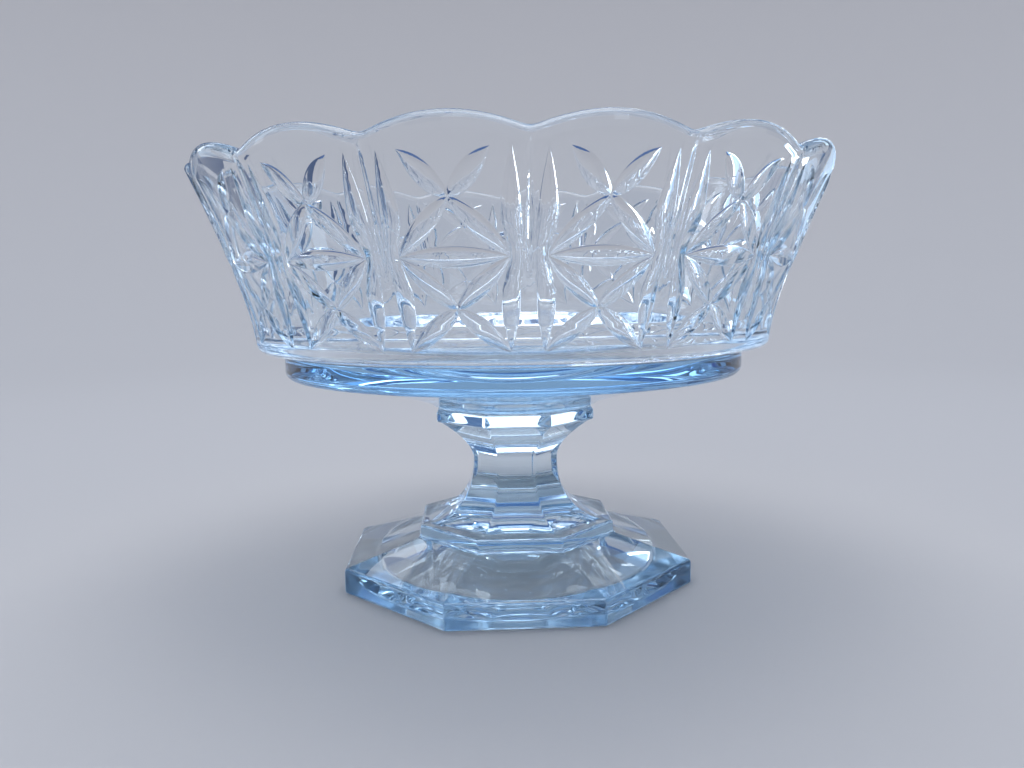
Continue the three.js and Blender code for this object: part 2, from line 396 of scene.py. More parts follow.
@dataclass(frozen=True)
class GlassFinish:
    """Clear fire-polished glass that takes a little red and green from light on its way through.

    Attributes:
        name: Name of the material.
        passes: Share of red, green and blue that the absorption leaves alone.
        density: Absorption in each metre of glass.
        index: Index of refraction.
        haze: Roughness of the dullest patches of the polished skin.
        marks_scale: Fineness of the polish marks.
        marks_detail: Layers of finer marks within them.
        marks_range: Values of their noise where the haze starts and where it is full.
        ripple: Depth of the waves that pressing leaves in the skin, in metres.
        ripple_scale: Fineness of the waves.
        ripple_detail: Layers of finer waves within them.
        scuff: Roughness of the resting ring, worn by tables.
        scuff_reach: Heights in metres where the wear is full and where it ends.
    """

    name: str
    passes: Triple = (0.22, 0.65, 0.92)
    density: float = 8.0
    index: float = 1.52
    haze: float = 0.015
    marks_scale: float = 140.0
    marks_detail: float = 3.0
    marks_range: Pair = (0.5, 0.8)
    ripple: float = 0.00002
    ripple_scale: float = 55.0
    ripple_detail: float = 1.0
    scuff: float = 0.0
    scuff_reach: Pair = (0.0001, 0.0008)

    def material(self) -> bpy.types.Material:
        """Glass with faint waves and polish marks in its skin, and a worn ring where it rests.

        Returns:
            The material, whose volume holds the body colour.
        """
        material = bpy.data.materials.new(self.name)
        graph = Graph.of(material)
        place = graph.node("TexCoord").outputs["Object"]
        marks = graph.node("TexNoise", Vector=place, Scale=self.marks_scale, Detail=self.marks_detail)
        haze = graph.span(marks.outputs["Fac"], self.marks_range, (0, self.haze))
        if self.scuff:
            height = graph.node("SeparateXYZ", Vector=place).outputs["Z"]
            wear = graph.span(height, self.scuff_reach, (self.scuff, 0))
            haze = graph.node("Math", haze, wear, operation="MAXIMUM").outputs["Value"]
        waves = graph.node("TexNoise", Vector=place, Scale=self.ripple_scale, Detail=self.ripple_detail)
        relief = graph.node("Bump", Height=waves.outputs["Fac"], Distance=self.ripple)
        shader = graph.node(
            "BsdfPrincipled",
            Base_Color=(1, 1, 1, 1),
            Transmission_Weight=1,
            IOR=self.index,
            Roughness=haze,
            Normal=relief.outputs["Normal"],
        )
        body = graph.node("VolumeAbsorption", Color=(*self.passes, 1), Density=self.density)
        graph.node("OutputMaterial", Surface=shader.outputs["BSDF"], Volume=body.outputs["Volume"])
        return material

    def dress(self, thing: bpy.types.Object) -> None:
        """Gives a piece this finish."""
        thing.data.materials.append(self.material())


@dataclass(frozen=True)
class MattFinish:
    """Matt surface of one colour, for the stage, with the level of its faint mirror reflection."""

    name: str
    colour: Triple
    sheen: float = 0.5
    roughness: float = 0.9

    def dress(self, thing: bpy.types.Object) -> None:
        """Gives a sheet of the stage this finish.

        Args:
            thing: The sheet.
        """
        material = bpy.data.materials.new(self.name)
        graph = Graph.of(material)
        look = {"Base_Color": (*self.colour, 1), "Roughness": self.roughness}
        shader = graph.node("BsdfPrincipled", Specular_IOR_Level=self.sheen, **look)
        graph.node("OutputMaterial", Surface=shader.outputs["BSDF"])
        thing.data.materials.append(material)


PRESSED_GLASS = GlassFinish("pressed_glass")
FOOT_GLASS = GlassFinish("pressed_glass_foot", scuff=0.1)
CLEAR_BOND = GlassFinish("clear_bond", (0.7, 0.8, 0.85), 4, index=1.5, haze=0.05)
PALE_PAPER = MattFinish("pale_paper", (0.63, 0.605, 0.575), sheen=0)


# Pedestal


@dataclass
class Pedestal:
    """Eight-sided pedestal: foot, step, stem and collar, hollowed from below.

    Widths run from the axis to a flat, and the flare is an ellipse's half-axes. The resting ring is an
    octagon from ring_edge outwards and round inside it.
    """

    sides: int = 8
    foot: float = 61.5
    foot_riser: float = 8.75
    slope_top: float = 16.5
    step: float = 35.25
    step_top: float = 21.0
    flare: Pair = (17.0, 20.0)
    stem: float = 15.625
    stem_top: float = 44.0
    neck_fullness: float = 5.75
    neck: float = 27.5
    collar: float = 28.5
    collar_foot: float = 58.25
    top: float = 63.0
    recess: float = 50.0
    recess_depth: float = 9.0
    ring_edge: float = 57.9
    bond_edge: float = 27.5
    corner: float = 1.6
    edge: float = 1.2
    flat_steps: int = 6
    corner_steps: int = 4
    edge_steps: int = 5
    dome_steps: int = 24
    curve_steps: int = 16

    def outline(self) -> Stretch:
        """Outline from the middle of the hollow, round the foot and up to the edge of the bond.

        Returns:
            The outline, with its edges rounded.
        """
        octagon = (1, 1)
        crown = (self.recess / 2, self.recess_depth)
        flare, stem_foot = self.stem + self.flare[0], self.step_top + self.flare[1]
        stem_end = (self.stem, self.stem_top)
        turn_out = (self.stem, self.stem_top + self.neck_fullness)
        neck_end = (self.neck, self.collar_foot)
        stretches = [
            bend((0, self.recess_depth), crown, (self.recess, 0), self.dome_steps),
            line((self.recess, 0), (self.ring_edge, 0), 1, (0, 1)),
            line((self.ring_edge, 0), (self.foot, 0), 1, octagon),
            line((self.foot, 0), (self.foot, self.foot_riser), 1, octagon),
            line((self.foot, self.foot_riser), (self.step, self.slope_top), 2, octagon),
            line((self.step, self.slope_top), (self.step, self.step_top), 1, octagon),
            line((self.step, self.step_top), (flare, self.step_top), 1, octagon),
            arc((flare, stem_foot), self.flare, (-90, -180), self.curve_steps, 1),
            line((self.stem, stem_foot), stem_end, 2, octagon),
            bend(stem_end, turn_out, neck_end, self.curve_steps, 1),
            line(neck_end, (self.collar, self.collar_foot), 1, octagon),
            line((self.collar, self.collar_foot), (self.collar, self.top), 1, octagon),
            line((self.collar, self.top), (self.bond_edge, self.top), 1, (1, 0)),
        ]
        return soft_join(stretches, self.edge, self.edge_steps)

    def rim(self) -> tuple[Array, Array]:
        """Columns round an octagon that is one from its axis to its flats.

        Returns:
            A point on the octagon and the direction out of it for each column: evenly spaced places along
            each flat, all with the flat's direction, then the corner, with directions that turn through it.
        """
        half = math.pi / self.sides
        slide = np.linspace(-1, 1, self.flat_steps + 1) * math.tan(half)
        turn = np.linspace(-half, half, self.corner_steps + 1)[1:-1]
        middle = 2 * half * np.arange(self.sides)[:, None]
        across, around = round_about(np.broadcast_to(middle, (self.sides, len(slide))))
        flats = across + slide[:, None] * around
        heading = middle + half + turn[None, :]
        tips, _ = round_about(np.broadcast_to(middle + half, heading.shape))
        points = np.concatenate([flats, tips / math.cos(half)], axis=1).reshape(-1, 3)
        directions = np.concatenate([across, round_about(heading)[0]], axis=1).reshape(-1, 3)
        return points, directions

    def skin(self) -> Skin:
        """Rings of the outline: an octagon is shrunk by the corner radius and then grown back by it.

        Returns:
            The skin, where the ring of a sample of squareness q is q octagon + (1-q) circle.
        """
        outline = self.outline()
        size, height, square = outline.samples[1:].T[:, :, None, None]
        run, rise = outline.tangents[1:].T[:, :, None, None]
        points, directions = self.rim()
        spokes = unit((self.foot - self.corner) * points + self.corner * directions)
        octagon = (size - self.corner) * points + self.corner * directions
        grid = square * octagon + (1 - square) * size * spokes + height * UP
        normals = rise * (square * directions + (1 - square) * spokes) - run * UP
        return Skin.closed(grid, unit(normals), (self.recess_depth, self.top))

    def build(self) -> None:
        """Makes the piece and dresses it."""
        FOOT_GLASS.dress(self.skin().shown(Piece.PEDESTAL, "pedestal", "pedestal_glass"))


# Bond


@dataclass
class BondFilm:
    """Thin clear film between the collar and the bowl, drawn in a little round its edge."""

    radius: float = 27.5
    inner: float = 13.75
    floor: float = 63.01
    ceiling: float = 63.24
    draw: float = 0.1
    edge: float = 0.03
    edge_steps: int = 3
    draw_steps: int = 6
    columns: int = 128

    def outline(self) -> Stretch:
        """Outline of the lower face, the edge drawn in as a parabola, and the upper face.

        Returns:
            The outline, with its edges rounded.
        """
        below, above = (self.radius, self.floor), (self.radius, self.ceiling)
        drawn = (self.radius - self.draw, (self.floor + self.ceiling) / 2)
        stretches = [
            line((self.inner, self.floor), below),
            bend(below, drawn, above, self.draw_steps),
            line(above, (self.inner, self.ceiling)),
        ]
        return soft_join(stretches, self.edge, self.edge_steps)

    def skin(self) -> Skin:
        """Rings of the outline, closed over both faces."""
        return Skin.closed(*turned(self.outline(), self.columns), (self.floor, self.ceiling))

    def build(self) -> None:
        """Makes the piece and dresses it."""
        CLEAR_BOND.dress(self.skin().shown(Piece.BOND, "bond_film", "bond"))


# Bowl


@dataclass(frozen=True)
class Groove:
    """V-shaped cut along a straight line of the wall.

    Attributes:
        start: Spot of one tip: degrees from the panel's middle and height above the wall's foot.
        end: Spot of the other tip.
        depth: Depth of the valley where it is deepest.
        scale: Millimetres along the wall for a degree and for a millimetre of height, at the cut.
        overrun: Length by which the cut starts before its first tip.
        rounding: Half-width of the rounding along its edges.
        soft_share: Largest share of the half-width that the rounding takes.
    """

    start: Pair
    end: Pair
    depth: float
    scale: Pair
    overrun: float = 0.0
    rounding: float = 0.22
    soft_share: float = 0.35

    def shape(self, along: Array) -> tuple[Array, Array, Array]:
        """Width to the left of the way, width to the right and depth, at shares of the length."""
        raise NotImplementedError

    def axis(self) -> tuple[Array, Array, Array, float]:
        """Straight line of the valley, in millimetres along the wall.

        Returns:
            First tip, unit direction, unit direction to its left and length.
        """
        tips = np.array([self.start, self.end], float) * self.scale
        way = tips[1] - tips[0]
        heading = unit(way)
        aside = np.array([-heading[1], heading[0]])
        return tips[0] - self.overrun * heading, heading, aside, np.linalg.norm(way) + self.overrun

    def cut(self, spots: Array) -> Array:
        """Depth of the cut: it falls off evenly from the valley to the edges.

        A parabola of the rounding's width leads each edge into the wall.

        Args:
            spots: Places on the panel.

        Returns:
            Depth in millimetres at each.
        """
        tip, heading, aside, length = self.axis()
        offset = spots * self.scale - tip
        off_line = offset @ aside
        left, right, depth = self.shape(np.clip(offset @ heading / length, 0, 1))
        half = np.maximum(np.where(off_line > 0, left, right), TINY)
        soft = np.clip(self.soft_share * half, TINY, self.rounding)
        inside = half - np.abs(off_line)
        ramp = np.where(inside < soft, (inside + soft) ** 2 / (4 * soft), inside)
        return depth / half * np.where(inside > -soft, ramp, 0)

    def lines(self, steps: int) -> list[Array]:
        """Valley, edges and the rounding's borders, from tip to tip.

        Args:
            steps: Number of parts along each line.

        Returns:
            Seven lines of spots.
        """
        tip, heading, aside, length = self.axis()
        along = (1 - np.cos(np.linspace(0, math.pi, steps + 1))) / 2
        left, right, _ = self.shape(along)
        sides = [np.zeros_like(along)]
        for way, half in ((1, left), (-1, right)):
            soft = np.minimum(self.soft_share * half, self.rounding)
            sides += [way * (half + k * soft) for k in (-1, 0, 1)]
        middle = tip + (length * along)[:, None] * heading
        return [(middle + side[:, None] * aside) / self.scale for side in sides]


@dataclass(frozen=True)
class Leaf(Groove):
    """Leaf-shaped cut: its width and depth swell as 4t(1-t) between its tips."""

    width: float = 4.0

    def shape(self, along: Array) -> tuple[Array, Array, Array]:
        """Equal widths on both sides, in step with the depth."""
        swell = 4 * along * (1 - along)
        return self.width / 2 * swell, self.width / 2 * swell, self.depth * swell


@dataclass(frozen=True)
class Flute(Groove):
    """Upright cut along a rib, held straight on the rib's side and drawn in at the waist on the star's.

    Attributes:
        rib_side: Side of the way that the rib is on: 1 for left and -1 for right.
        inner: Width on the rib's side.
        outer: Width on the star's side.
        waist: Share of the length where the star's tips touch.
        waist_reach: Share of the length over which they draw it in.
        waist_width: Share of the outer width that they leave.
        waist_depth: Share of the depth that they leave.
        fullness: Power that keeps the cut near its full width until close to its tips.
    """

    rib_side: int = 1
    inner: float = 2.7
    outer: float = 3.3
    waist: float = 0.5
    waist_reach: float = 0.13
    waist_width: float = 0.12
    waist_depth: float = 0.5
    fullness: float = 2.6

    def shape(self, along: Array) -> tuple[Array, Array, Array]:
        """Widths 1 - |2t-1|^p of full, with a bell-shaped draw exp(-((t-w)/r)^2) at the waist.

        Args:
            along: Shares t of the length.

        Returns:
            Width to the left, width to the right and depth.
        """
        swell = 1 - np.abs(2 * along - 1) ** self.fullness
        draw = np.exp(-(((along - self.waist) / self.waist_reach) ** 2))
        inner = self.inner * swell
        outer = self.outer * swell * (1 - (1 - self.waist_width) * draw)
        depth = self.depth * swell * (1 - (1 - self.waist_depth) * draw)
        return (inner, outer, depth) if self.rib_side > 0 else (outer, inner, depth)


@dataclass
class Bowl:
    """Round bowl on a hollow underside and a tier, with a flared cut wall and a scalloped rim.

    A spot is a place on a panel: degrees from its middle and height above the wall's foot. The cuts are
    placed by such heights and by degrees from a ridge or a middle. Arm and bar are a width and a depth,
    and the ridge's bead rises over the heights bead_foot and falls over the heights bead_head.
    """

    panels: int = 16
    seat: float = 30.0
    seat_height: float = 63.25
    bond_edge: float = 27.5
    hollow: float = 5.0
    tier: float = 82.5
    tier_foot: float = 76.25
    tier_top: float = 84.6
    tier_rounding: float = 2.5
    wall_base: float = 91.5
    wall_foot: float = 85.0
    foot_lift: float = 0.5
    base_rounding: float = 3.6
    flare_lean: float = 2.0
    flare_start: float = 20.0
    rim: float = 110.0
    dip: float = 145.0
    lip: float = 4.5
    base_thickness: float = 6.0
    floor_edge: float = 85.25
    floor_fillet: float = 11.0
    floor_slope: float = 0.152
    floor_middle: float = 74.0
    scallop_rise: float = 3.85
    scallop_band: float = 16.0
    notch_rounding: float = 0.04
    star_foot: float = 4.5
    lower_crossing: float = 16.0
    waist: float = 29.5
    upper_crossing: float = 44.0
    star_top: float = 53.5
    flute_top: float = 54.5
    ridge_to_flute: float = 2.75
    ridge_to_flute_top: float = 2.35
    star_top_degrees: float = 6.1
    arm: Pair = (5.0, 1.7)
    bar: Pair = (5.8, 1.9)
    flute_depth: float = 2.8
    overrun: float = 1.4
    bead: float = 0.65
    bead_width: float = 0.55
    bead_foot: Pair = (22.0, 34.0)
    bead_head: Pair = (53.0, 57.5)
    bead_lines: Triple = (0.5, 1.0, 1.6)
    edge: float = 0.8
    edge_steps: int = 5
    underside_steps: int = 14
    base_steps: int = 6
    lip_steps: int = 14
    wall_steps: int = 18
    fillet_steps: int = 10
    floor_steps: int = 14
    columns: int = 32
    wall_rows: int = 28
    groove_steps: int = 18
    slope_reach: float = 0.01
    merge_reach: float = 1e-5
    border_reach: float = 1e-4

    @property
    def pitch(self) -> float:
        """Degrees from one ridge to the next."""
        return 360 / self.panels

    @property
    def lean(self) -> float:
        """Outward travel of the wall for each millimetre up, near the rim."""
        return (self.rim - self.wall_base - self.flare_lean) / (self.dip - self.wall_foot - self.flare_start)

    @property
    def flare(self) -> Pair:
        """Radius and height where the tangents of the wall's two ends meet."""
        return self.wall_base + self.flare_lean, self.wall_foot + self.flare_start

    @property
    def lip_height(self) -> float:
        """Height of the middle of the lip's rounding at a dip."""
        return self.dip - self.lip / 2

    @property
    def cut_span(self) -> Pair:
        """Heights above the wall's foot where the cut wall starts and ends."""
        return self.base_rounding, self.lip_height - self.wall_foot

    def below(self) -> Stretch:
        """Outline from the bond, under the bowl and over the tier to the foot of the wall.

        Returns:
            The outline, with its edges rounded.
        """
        seat = (self.seat, self.seat_height)
        hollow = (self.seat + self.hollow, self.seat_height + self.hollow)
        tier_foot, tier_top = (self.tier, self.tier_foot), (self.tier, self.tier_top)
        tier = [bend(seat, hollow, tier_foot, self.underside_steps), line(tier_foot, tier_top)]
        underside = self.wall_foot + self.foot_lift
        overhang = (self.wall_base - self.base_rounding, underside)
        wall_start = (self.wall_base, self.wall_foot + self.base_rounding)
        stretches = [
            line((self.bond_edge, self.seat_height), seat),
            soft_join(tier, self.tier_rounding, self.edge_steps),
            line(tier_top, overhang),
            bend(overhang, (self.wall_base, underside), wall_start, self.base_steps),
        ]
        return soft_join(stretches, self.edge, self.edge_steps)

    def above(self) -> Stretch:
        """Outline from the top of the cut wall, over the lip and down the inside to the floor's middle.

        Returns:
            The outline.
        """
        lip = self.lip / 2
        inner = self.wall_base - self.base_thickness
        flare = (self.flare[0] - self.base_thickness, self.flare[1])
        lip_end = (self.rim - self.lip, self.lip_height)
        wall_end = (inner, self.floor_edge + self.floor_fillet)
        floor_rim = (inner - self.floor_fillet, self.floor_edge - self.floor_fillet * self.floor_slope)
        dished = floor_rim[0] - (floor_rim[1] - self.floor_middle) / self.floor_slope
        stretches = [
            arc((self.rim - lip, self.lip_height), (lip, lip), (0, 180), self.lip_steps),
            bend(lip_end, flare, wall_end, self.wall_steps),
            bend(wall_end, (inner, self.floor_edge), floor_rim, self.fillet_steps),
            bend(floor_rim, (dished, self.floor_middle), (0, self.floor_middle), self.floor_steps),
        ]
        return soft_join(stretches, self.edge, self.edge_steps)

    def arch(self, degrees: Array) -> tuple[Array, Array]:
        """Height of the rim's arch over a panel and its slope.

        With w the distance to the nearest ridge in panels and y = sqrt(w^2 + n^2) - n as a share of its
        value at the panel's middle, the arch is 1 - (1 - y)^2: 0 at a ridge, where n rounds the notch.

        Args:
            degrees: Angles from the front.

        Returns:
            The height, from 0 to 1, and its rise for each degree.
        """
        across = degrees / self.pitch
        from_ridge = across - np.round(across)
        half_panel = 0.5
        n = self.notch_rounding
        reach = np.sqrt(from_ridge**2 + n**2)
        whole = math.hypot(half_panel, n) - n
        y = (reach - n) / whole
        slope = 2 * (1 - y) * from_ridge / reach / whole / self.pitch
        return 1 - (1 - y) ** 2, slope

    def placed(self, outline: Array, travel: Array, degrees: Array) -> tuple[Array, Array]:
        """Points and normals of the turned outline, lifted into the scallops near the rim.

        A point at radius r and height z goes up by L = rise * s(z) * arch and out by lean * L, where s is
        the smooth step over the scallops' band. Both tangents follow from that.

        Args:
            outline: Radius and height of each point, in its last axis.
            travel: Direction along the outline of each point, in its last axis.
            degrees: Angle of each point from the front.

        Returns:
            Points and unit normals.
        """
        radius, height = outline[..., 0], outline[..., 1]
        t = np.clip((height - self.dip + self.scallop_band) / self.scallop_band, 0, 1)
        arch, arch_slope = self.arch(degrees)
        lift = self.scallop_rise * smooth(t) * arch
        steeper = self.scallop_rise * 6 * t * (1 - t) / self.scallop_band * arch
        swing = self.scallop_rise * smooth(t) * np.degrees(arch_slope)
        outward, around = round_about(np.radians(degrees))
        far = radius + lift * self.lean
        points = far[..., None] * outward + (height + lift)[..., None] * UP
        rise = travel[..., 1] * (1 + steeper)
        run = travel[..., 0] + self.lean * steeper * travel[..., 1]
        normals = (
            (far * rise)[..., None] * outward
            + (swing * (run - self.lean * rise))[..., None] * around
            - (far * run)[..., None] * UP
        )
        return points, unit(normals)

    def wall(self, height: Array) -> tuple[Array, Array]:
        """Outline and direction of the flared wall: a parabola, whose share t is the root of its height.

        Args:
            height: Heights above the wall's foot.

        Returns:
            Radius and height, and the unit direction of travel, in the last axis.
        """
        first = np.array([self.wall_base, self.wall_foot + self.base_rounding])
        middle = np.array(self.flare)
        last = np.array([self.rim, self.lip_height])
        climb = height + self.wall_foot - first[1]
        start, curve = middle[1] - first[1], first[1] - 2 * middle[1] + last[1]
        t = climb / (start + np.sqrt(start**2 + curve * climb))
        return parabola(first, middle, last, t[..., None])

    def wall_scale(self, height: float) -> Pair:
        """Millimetres along the wall for a degree and for a millimetre of height, at one height."""
        spot, travel = self.wall(np.array(height))
        return math.radians(spot[0]), 1 / travel[1]

    def grooves(self) -> list[Groove]:
        """Cuts of one panel: a star of two crossings and a bar, between upright flutes.

        Returns:
            The cuts, from the bar outwards.
        """
        edge = self.pitch / 2 - self.ridge_to_flute
        upper, lower = (0, self.upper_crossing), (0, self.lower_crossing)
        width, depth = self.bar
        bar_scale = self.wall_scale(self.waist)
        cuts = [Leaf((-edge, self.waist), (edge, self.waist), depth, bar_scale, width=width)]
        width, depth = self.arm
        for side in (-1, 1):
            waist, foot = (side * edge, self.waist), (side * edge, self.star_foot)
            top = (side * self.star_top_degrees, self.star_top)
            for start, end in ((upper, top), (upper, waist), (lower, waist), (lower, foot)):
                scale = self.wall_scale((start[1] + end[1]) / 2)
                cuts.append(Leaf(start, end, depth, scale, self.overrun, width=width))
            head = (side * (self.pitch / 2 - self.ridge_to_flute_top), self.flute_top)
            scale = self.wall_scale((foot[1] + head[1]) / 2)
            tied = (self.waist - self.star_foot) / (self.flute_top - self.star_foot)
            cuts.append(Flute(foot, head, self.flute_depth, scale, rib_side=-side, waist=tied))
        return cuts

    def ridge_bead(self, spots: Array) -> Array:
        """Height of the fine bead along a ridge: b exp(-(d/w)^2) at a distance d, from waist to notch.

        Args:
            spots: Places on the panel.

        Returns:
            Height in millimetres at each.
        """
        away = (self.pitch / 2 - np.abs(spots[:, 0])) * math.radians(self.flare[0])
        low, high = self.bead_foot
        rise = np.clip((spots[:, 1] - low) / (high - low), 0, 1)
        low, high = self.bead_head
        fall = np.clip((high - spots[:, 1]) / (high - low), 0, 1)
        return self.bead * smooth(rise) * smooth(fall) * np.exp(-((away / self.bead_width) ** 2))

    def cut_depth(self, spots: Array) -> Array:
        """Depth of the deepest cut at each spot."""
        return np.max([groove.cut(spots) for groove in self.grooves()], axis=0)

    def cut_wall(self, spots: Array) -> Array:
        """Points of the panel that starts at the front, moved along its normals by its cuts and bead."""
        points, normals = self.placed(*self.wall(spots[:, 1]), spots[:, 0] + self.pitch / 2)
        return points - (self.cut_depth(spots) - self.ridge_bead(spots))[:, None] * normals

    def cut_normals(self, spots: Array) -> Array:
        """Unit normals there: the cross product of the wall's slopes round the axis and upward."""
        shifts = np.eye(2) * self.slope_reach
        return unit(np.cross(*[self.cut_wall(spots + s) - self.cut_wall(spots - s) for s in shifts]))

    def panel_net(self) -> tuple[Array, Array]:
        """Triangles over one panel of the wall that follow every line of its cuts.

        Returns:
            Spots of the vertices, and the triangles' vertex numbers.
        """
        half = self.pitch / 2
        across = np.linspace(-half, half, self.columns + 1)
        upward = np.linspace(*self.cut_span, self.wall_rows + 1)
        scale = np.array([math.radians(self.flare[0]), 1.0])
        bead = half - self.bead_width * np.array(self.bead_lines) / scale[0]
        lines = [np.column_stack([across, np.full_like(across, height)]) for height in self.cut_span]
        lines += [np.column_stack([np.full_like(upward, angle), upward]) for angle in (-half, half)]
        lines += [cut for groove in self.grooves() for cut in groove.lines(self.groove_steps)]
        rows = (across[1:-1], np.concatenate([-bead, bead]))
        grid, strip = (np.stack(np.meshgrid(row, upward[1:-1]), axis=-1).reshape(-1, 2) for row in rows)
        clear = self.cut_depth(grid) <= 0
        corners = np.concatenate([*lines, grid[clear], strip]) * scale
        ends = np.cumsum([len(spots) for spots in lines])
        starts = np.delete(np.arange(ends[-1]), ends - 1)
        edges = np.column_stack([starts, starts + 1])
        found = delaunay_2d_cdt(corners.tolist(), edges.tolist(), [], 0, self.merge_reach, False)
        return np.array(found[0]) / scale, np.array(found[2])

    def net_numbers(self, spots: Array, foot: Array, top: Array, first: int) -> tuple[Array, Array]:
        """Numbers the vertices of every panel's net.

        A panel owns the vertices inside it and on its left border. Its right border is the next panel's
        left one, and its foot and top are vertices of the rings there.

        Args:
            spots: Spots of the net's vertices.
            foot: Vertex numbers of the ring at the foot of the cut wall.
            top: Vertex numbers of the ring at its top.
            first: Number of the first panel's first own vertex.

        Returns:
            Which vertices a panel owns, and the numbers of all by panel and vertex.
        """
        half = self.pitch / 2
        at_left, at_right = (np.abs(spots[:, 0] - side) < self.border_reach for side in (-half, half))
        at_foot, at_top = (np.abs(spots[:, 1] - level) < self.border_reach for level in self.cut_span)
        between = ~(at_foot | at_top)
        own = between & ~at_right
        count = int(own.sum())
        panel = np.arange(self.panels)[:, None]
        number = np.zeros((self.panels, len(spots)), int)
        number[:, own] = first + panel * count + np.arange(count)
        column = np.rint((spots[:, 0] + half) / self.pitch * self.columns).astype(int)
        columns = (panel * self.columns + column) % len(foot)
        number[:, at_foot] = foot[columns[:, at_foot]]
        number[:, at_top] = top[columns[:, at_top]]
        left, right = (np.flatnonzero(between & border) for border in (at_left, at_right))
        left, right = (side[np.argsort(spots[side, 1])] for side in (left, right))
        number[:, right] = np.roll(number, -1, axis=0)[:, left]
        return own, number

    def all_round(self, vectors: Array) -> Array:
        """Turns one panel's vectors to every panel.

        Args:
            vectors: Vectors of the panel that starts at the front.

        Returns:
            The vectors of one panel after another.
        """
        turns = np.radians(self.pitch * np.arange(self.panels))
        spin = np.array([[np.cos(turns), -np.sin(turns)], [np.sin(turns), np.cos(turns)]])
        every = np.tile(vectors, (self.panels, 1, 1))
        every[..., :2] = np.einsum("ijp,nj->pni", spin, vectors[:, :2])
        return every.reshape(-1, 3)

    def rings(self) -> list[tuple[Array, Array]]:
        """Rings below and above the cut wall.

        Returns:
            Points and normals of both grids, by ring and column, without the floor's middle.
        """
        degrees = np.arange(self.panels * self.columns) * self.pitch / self.columns
        grids = []
        for outline, rows in ((self.below(), slice(None)), (self.above(), slice(-1))):
            spots, travel = outline.samples[rows, None, :2], outline.tangents[rows, None]
            grids.append(self.placed(spots, travel, degrees[None, :]))
        return grids

    def skin(self) -> Skin:
        """Rings below and above the cut wall, with the net of one panel repeated between them.

        Returns:
            The skin, closed at the seat and at the floor.
        """
        rings = self.rings()
        ring = self.panels * self.columns
        below, above = (np.arange(len(points) * ring).reshape(-1, ring) for points, _ in rings)
        above = above + below.size
        spots, net = self.panel_net()
        own, number = self.net_numbers(spots, below[-1], above[0], below.size + above.size)
        panel = [surface(spots)[own] for surface in (self.cut_wall, self.cut_normals)]
        parts = [*rings, [self.all_round(vectors) for vectors in panel]]
        points, normals = (np.concatenate([part.reshape(-1, 3) for part in kind]) for kind in zip(*parts))
        quads = np.concatenate([ring_faces(below), ring_faces(above)])
        open_skin = Skin(points, normals, quads, number[:, net].reshape(-1, 3))
        return open_skin.capped(below[0], above[-1], (self.seat_height, self.floor_middle))

    def build(self) -> None:
        """Makes the piece and dresses it."""
        PRESSED_GLASS.dress(self.skin().shown(Piece.BOWL, "bowl", "bowl_glass"))


# Studio


@dataclass(frozen=True)
class Softbox:
    """Rectangular soft lamp that looks at the bowl.

    Attributes:
        name: Name of the lamp.
        place: Its middle, in metres.
        size: Width and height in metres.
        power: Watts.
        colour: Colour of its light.
        glint: True for a lamp that shows in and through glass but lights no matt surface.
    """

    name: str
    place: Triple
    size: Pair
    power: float
    colour: Triple
    glint: bool = True

    def hang(self, target: Vector) -> None:
        """Adds the lamp, turned to the target and hidden from the camera itself.

        Args:
            target: Place that it looks at, in metres.
        """
        lamp = bpy.data.lights.new(self.name, "AREA")
        lamp.shape = "RECTANGLE"
        lamp.size, lamp.size_y = self.size
        lamp.energy = self.power
        lamp.color = self.colour
        holder = bpy.data.objects.new(self.name, lamp)
        holder.location = self.place
        holder.rotation_euler = (target - holder.location).to_track_quat("-Z", "Y").to_euler()
        holder.visible_camera = False
        holder.visible_diffuse = not self.glint
        SCENE.collection.objects.link(holder)
        log.info("%s: %.2f W", self.name, self.power)


def stage_sheet(name: str, points: Array, faces: Array, finish: MattFinish) -> bpy.types.Object:
    """Adds a sheet of the stage.

    Args:
        name: Name of the sheet.
        points: Vertices in metres, one row each.
        faces: Vertex numbers of its faces, one row each.
        finish: Its finish.

    Returns:
        The new object.
    """
    mesh = bpy.data.meshes.new(name)
    mesh.from_pydata(points.tolist(), [], faces.tolist())
    mesh.polygons.foreach_set("use_smooth", np.ones(len(faces), bool))
    thing = bpy.data.objects.new(name, mesh)
    finish.dress(thing)
    SCENE.collection.objects.link(thing)
    log.info("%s: stage", name)
    return thing


@dataclass(frozen=True)
class Flag:
    """Upright dark card that faces the axis and is seen only in and through glass, in metres."""

    name: str
    spot: Pair
    width: float
    height: float = 0.78
    middle: float = 0.4
    colour: Triple = (0.03, 0.085, 0.21)

    def stand(self) -> None:
        """Adds the card: corners half a width round the axis and half a height up from its middle."""
        _, around = round_about(np.arctan2(self.spot[0], -self.spot[1]))
        corners = np.array([(-1, -1), (1, -1), (1, 1), (-1, 1)]) / 2 * (self.width, self.height)
        points = np.array([*self.spot, self.middle]) + corners[:, :1] * around + corners[:, 1:] * UP
        finish = MattFinish(self.name, self.colour)
        thing = stage_sheet(self.name, points, np.arange(len(points))[None, :], finish)
        thing.visible_camera = thing.visible_shadow = thing.visible_diffuse = False


